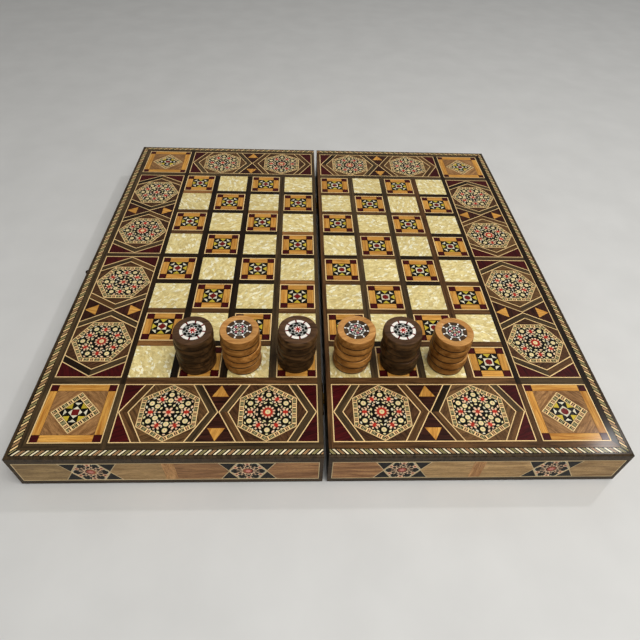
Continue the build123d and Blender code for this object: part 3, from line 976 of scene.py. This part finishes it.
def make_bars(name, side, body):
    """Walnut bars between the squares and panels, and the mitred strips inside the rope."""
    squares = solid_boxes(f"{name}_pearl_squares") + solid_boxes(f"{name}_marquetry_squares")
    panels = solid_boxes(f"{name}_border_panels")
    columns = distances(squares)
    rows = spans(squares, 1)
    panel_columns = distances(panels)
    panel_rows = spans(panels, 1)
    rope_low, rope_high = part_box(f"{name}_rope_banding")
    rope_ys = levels(f"{name}_rope_banding", 1)
    near = min(abs(rope_low.x), abs(rope_high.x)) / MM
    rope_x = max(abs(rope_low.x), abs(rope_high.x)) / MM - (rope_ys[1] - rope_ys[0])
    rope_y = rope_ys[-2]
    inlay = Inlay()
    place = Place(inlay, (0, 0, rope_high.z / MM))

    def bar(x0, y0, x1, y1, material, grain):
        place.piece(mirrored(rectangle(x0, y0, x1, y1), side), material, 0.75, grain, 0.03)

    end_inner, end_outer = panel_rows[-1]
    side_start, side_finish = panel_columns[-1]
    bar(near, -rope_y, columns[0][0], rope_y, LONG_BARS[name][0], 90)
    bar(columns[-1][1], -rope_y, side_start, -end_inner, WALNUT if side < 0 else WALNUT_BROWN, 90)
    bar(columns[-1][1], -end_inner, side_start, rope_y, WALNUT_DARK, 90)
    for first, second in zip(columns, columns[1:]):
        bar(first[1], rows[0][0], second[0], rows[-1][1], chance.choice(LONG_BARS[name]), 90)
    for first, second in zip(rows, rows[1:]):
        for column in columns:
            bar(column[0], first[1], column[1], second[0], chance.choice(ACROSS_BARS[name]), 0)
    for end in ENDS:
        material = WALNUT_BROWN if end < 0 else WALNUT
        bar(columns[0][0], end * rows[-1][1], columns[-1][1], end * end_inner, material, 0)
        bar(side_start, end * rows[-1][1], side_finish, end * end_inner, WALNUT, 0)
        strip = [(near, end_outer), (side_finish, end_outer), (rope_x, rope_y), (near, rope_y)]
        material = WALNUT_BROWN if side > 0 > end else WALNUT
        place.piece(mirrored(strip, side, end), material, 0.75, 0, 0.03)
    middle_gap = min(abs(low) for low, high in panel_rows)
    bar(side_start, -middle_gap, side_finish, middle_gap, WALNUT, 0)
    strip = [(side_finish, -end_outer), (rope_x, -rope_y), (rope_x, rope_y), (side_finish, end_outer)]
    material = WALNUT if side < 0 else WALNUT_DARK
    place.piece(mirrored(strip, side), material, 0.75, 90, 0.03)
    inlay.made(f"{name}_board_bars", body, "walnut")


def make_wall_inlay(name, side, body):
    inlay = Inlay()
    for low, high in solid_boxes(f"{name}_wall_veneers"):
        middle = (low + high) / 2
        size = high - low
        if size.x > size.y:
            face_y = low.y if middle.y < 0 else high.y
            along = (1, 0, 0) if middle.y < 0 else (-1, 0, 0)
            place = Place(inlay, (middle.x, face_y, middle.z), along, (0, 0, 1))
            quarter = size.x * 0.26
            woods = FRONT_FIELDS[name]
            wall_panel(place, size.x / 2, size.z / 2, (-quarter, quarter), (0,), woods)
        else:
            face_x = high.x if side > 0 else low.x
            place = Place(inlay, (face_x, 0, middle.z), (0, side, 0), (0, 0, 1))
            quarter = size.y / 8
            hexagons = [quarter * number for number in (-3, -1, 1, 3)]
            woods = [chance.choice((WALNUT_SIDE, WALNUT_DUSK, WALNUT_RUST)) for number in range(8)]
            strips = (-2 * quarter, 0, 2 * quarter)
            wall_panel(place, size.y / 2, size.z / 2, hexagons, strips, woods)
    inlay.made(f"{name}_wall_inlay", body, "wall_veneer", f"{name}_wall_veneers")


def make_tray(name, body):
    """Backgammon points and a centre medallion, on the floor of the tray, which faces down."""
    low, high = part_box(f"{name}_inner_board")
    middle = (low + high) / 2 / MM
    inlay = Inlay()
    place = Place(inlay, (middle.x, middle.y, low.z / MM), across=(0, -1, 0))
    half_x, half_y = (high.x - low.x) / 2 / MM, (high.y - low.y) / 2 / MM
    points_across = 6
    width = 2 * half_x / points_across
    point_length = half_y * 0.79
    for end in ENDS:
        for number in range(points_across):
            start = -half_x + number * width
            base = end * (half_y - 0.6)
            tip = (start + width / 2, end * (half_y - point_length))
            outline = anticlockwise([(start + 0.8, base), (start + width - 0.8, base), tip])
            place.piece(outline, CREAM, 6, 90.0)
            fill = HONEY if (number + (end > 0)) % 2 else MAROON
            place.piece(shrunk(outline, 1.0), fill, 7, 90.0)
    ring = regular(6, 32.0, 30)
    place.piece(ring, FIELD, 6, 0.0)
    medallion(Place(inlay, place.point(0, 0, 8 * LAYER) / MM, place.along, place.across), True)
    inlay.made(f"{name}_tray_points", body, "marquetry")


# ---- checkers ----


def checker_profile(radius, thickness, rosette):
    """Turned disc with rounded rims, a slight belly and a shallow recess for the rosette."""
    rim, belly, steps, crisp = 0.6, 0.42, 4, 0.12
    side = radius - belly
    profile = [(0.0, -thickness), (side - rim - crisp, -thickness)]
    for step in range(steps + 1):
        angle = math.pi / 2 * step / steps
        profile.append((side - rim + rim * math.sin(angle), -thickness + rim - rim * math.cos(angle)))
    for step in range(-steps, steps + 1):
        share = step / steps
        height = share * (thickness / 2 - rim - crisp) - thickness / 2
        profile.append((radius - 0.95 * belly * share * share, height))
    for step in range(steps + 1):
        angle = math.pi / 2 * step / steps
        profile.append((side - rim + rim * math.cos(angle), -rim + rim * math.sin(angle)))
    profile += [(side - rim - crisp, 0.0), (rosette + crisp, 0.0), (rosette, -0.1), (rosette, -0.6)]
    profile += [(rosette - crisp, -0.65), (0.0, -0.65)]
    return profile


def dark_rosette(place, radius):
    """White blocks and red wedges round a net of grey and black with a red star in it."""
    wedge = 3.8
    place.piece(regular(48, radius - 0.1), EBONY, -4, gap=0.0)
    for number in range(8):
        angle = 45 * number
        block = sector(0.76 * radius, radius, angle + wedge, angle + 45 - wedge)
        place.piece(block, WHITE, -1)
        place.piece(sector(0.76 * radius, radius, angle - wedge, angle + wedge, 1), DEEP_RED, -1)
        place.piece(sector(0.3 * radius, 0.74 * radius, angle - 22, angle + 22), GREY, -3)
        leaf(place, angle, 0.63, 90, 0.42, 0.23, EBONY, radius)
        leaf(place, angle + 22.5, 0.43, 90, 0.32, 0.2, EBONY, radius)
        leaf(place, angle, 0.2, 0, 0.3, 0.1, RED, radius)
        leaf(place, angle + 22.5, 0.24, 0, 0.24, 0.1, WHITE, radius)
    place.piece(regular(8, 0.06 * radius), RED, 0, gap=0.0)


def light_rosette(place, radius):
    """Dark blocks and bone ticks, a grey ring with bone diamonds, and four plum and white petals."""
    place.piece(regular(48, radius - 0.1), EBONY, -4, gap=0.0)
    for number in range(8):
        angle = 45 * number
        place.piece(sector(0.68 * radius, radius, angle + 4.5, angle + 40.5), BLOCK, -1)
        place.piece(sector(0.8 * radius, 0.98 * radius, angle - 3.5, angle + 3.5, 1), WHITE, -1)
        place.piece(sector(0.58 * radius, 0.65 * radius, angle, angle + 45), GREY, -2)
        leaf(place, angle, 0.66, 0, 0.2, 0.17, WHITE, radius)
        leaf(place, angle + 22.5, 0.5, 0, 0.12, 0.1, GREY, radius)
    for number in range(4):
        angle = 90 * number + 22.5
        leaf(place, angle, 0.37, 90, 0.26, 0.22, PLUM, radius)
        leaf(place, angle + 45, 0.36, 0, 0.3, 0.08, GREY, radius)
        for lean in ENDS:
            leaf(place, angle + 27 * lean, 0.4, 90, 0.14, 0.13, WHITE, radius)
            leaf(place, angle + 14 * lean, 0.2, 0, 0.15, 0.08, TIP, radius)
    place.piece(regular(8, 0.1 * radius), GREY, 0, gap=0.0)


def make_checker(node):
    low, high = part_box(node)
    radius = (high.x - low.x) / 2 / MM
    thickness = (high.z - low.z) / MM - SEAT
    middle = (low + high) / 2 / MM
    inlay = Inlay()
    place = Place(inlay, (middle.x, middle.y, high.z / MM))
    rosette = radius * 0.647
    light = "light" in node
    profile = checker_profile(radius, thickness, rosette)
    # the side woods are darker copies of the face woods: partly painted shade on the disc sides
    face_wood, shaded_side_wood = (CHECKER_LIGHT, LIGHT_SIDE_SHADED) if light else (CHECKER_DARK, DARK_SIDE_SHADED)

    def wood_at(first, second):
        """Face wood on the flat parts, the darker side wood (partly painted shade) on the steep ones and a
        near-black wood low on the side as painted shade where the discs meet.
        """
        if abs(second[1] - first[1]) <= abs(second[0] - first[0]) or min(first[0], second[0]) < rosette + 1:
            return face_wood
        # painted shade: the lowest band of each disc's side takes the near-black wood
        return RIM_SHADE_WOOD if second[1] < 2.0 - thickness else shaded_side_wood

    inlay.turned(place, profile, wood_at)
    turned = place.moved(0, 0, chance.uniform(0, 90))
    if light:
        light_rosette(turned, rosette - 0.1)
    else:
        dark_rosette(turned, rosette - 0.1)
    inlay.made(node.replace("checker", "disc"), node, "checker_light" if light else "checker_dark", node)


# ---- the whole case ----


def finish_cad_node(node, material):
    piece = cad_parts[node]
    piece.data.materials.clear()
    piece.data.materials.append(material)


def make_half(name, side):
    body = f"{name}_half"
    for part in ("playing_board", "outer_wall", "hinge_wall", "inner_board"):
        finish_cad_node(f"{name}_{part}", CASE_ALONG)
    for part in ("front_wall", "back_wall"):
        finish_cad_node(f"{name}_{part}", CASE_ACROSS)
    finish_cad_node(f"{name}_hinge_leaves", BRASS)
    finish_cad_node(f"{name}_hinge_screws", BRASS)
    make_squares(name, body)
    make_panels(name, side, body)
    make_rope(name, side, body)
    make_bars(name, side, body)
    make_wall_inlay(name, side, body)
    make_tray(name, body)


for half_name, half_side in SIDES:
    make_half(half_name, half_side)
finish_cad_node("hinge_pins", BRASS)
# The latch parts take the darkened brass: painted shade.
finish_cad_node("latch_hook", SHADED_BRASS)
finish_cad_node("latch_screw", SHADED_BRASS)
finish_cad_node("catch_peg", SHADED_BRASS)
for checker_node in sorted(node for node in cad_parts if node.startswith("checker")):
    make_checker(checker_node)


# ---- floor, light and camera ----


def add_floor():
    """Flat sheet just under the lowest point of the object."""
    mesh = bpy.data.meshes.new("studio_floor")
    reach, height = 6.0, cad_box[0].z
    corners = [(x, y, height) for x, y in centred(reach, reach)]
    mesh.from_pydata(corners, [], [(0, 1, 2, 3)])
    mesh.materials.append(floor_surface("studio_floor"))
    added("studio_floor", mesh)


def add_area_light(name, direction, distance, size, power, colour=(1.0, 1.0, 1.0)):
    """Square lamp aimed at the middle of the board from the given direction."""
    lamp = bpy.data.lights.new(name, "AREA")
    lamp.size = size
    lamp.energy = power
    lamp.color = colour
    holder = added(name, lamp)
    towards = Vector(direction).normalized()
    holder.location = towards * distance
    holder.rotation_mode = "QUATERNION"
    holder.rotation_quaternion = towards.to_track_quat("Z", "Y")


def add_world(colour, strength):
    world = bpy.data.worlds.new("soft_studio")
    world.use_nodes = True
    background = world.node_tree.nodes["Background"]
    background.inputs["Color"].default_value = colour
    background.inputs["Strength"].default_value = strength
    bpy.context.scene.world = world


def add_camera():
    """Camera in front of the case and above it, looking down at the board."""
    focal_length, sensor = 28.06, 36.0
    location = Vector((-0.02244, -0.44251, 0.39889))
    down, roll, yaw = math.radians(46.14), math.radians(2.825), math.radians(-3.47)
    forward = Vector((-math.sin(yaw), math.cos(yaw), 0.0)) * math.cos(down)
    forward.z = -math.sin(down)
    level = Vector((math.cos(yaw), math.sin(yaw), 0.0))
    upright = level.cross(forward)
    right = level * math.cos(roll) + upright * math.sin(roll)
    up = upright * math.cos(roll) - level * math.sin(roll)
    data = bpy.data.cameras.new("photo_view")
    data.lens = focal_length
    data.sensor_width = sensor
    data.clip_start = 0.01
    camera = added("photo_view", data)
    axes = Matrix((right, up, -forward)).transposed().to_4x4()
    camera.matrix_world = Matrix.Translation(location) @ axes
    bpy.context.scene.camera = camera


add_floor()
add_world((1.0, 0.99, 0.97, 1.0), 0.27)
add_area_light("overhead_light", (0.3, -0.4, 1.0), 1.3, 0.8, 10.0, (1.0, 0.98, 0.95))
add_area_light("front_fill", (0.2, -1.0, 0.75), 2.4, 1.4, 5.0)
add_area_light("corner_glint", (0.602, 0.311, 0.735), 2.48, 0.09, 8.0)
add_camera()
bpy.context.scene.view_settings.view_transform = "Standard"
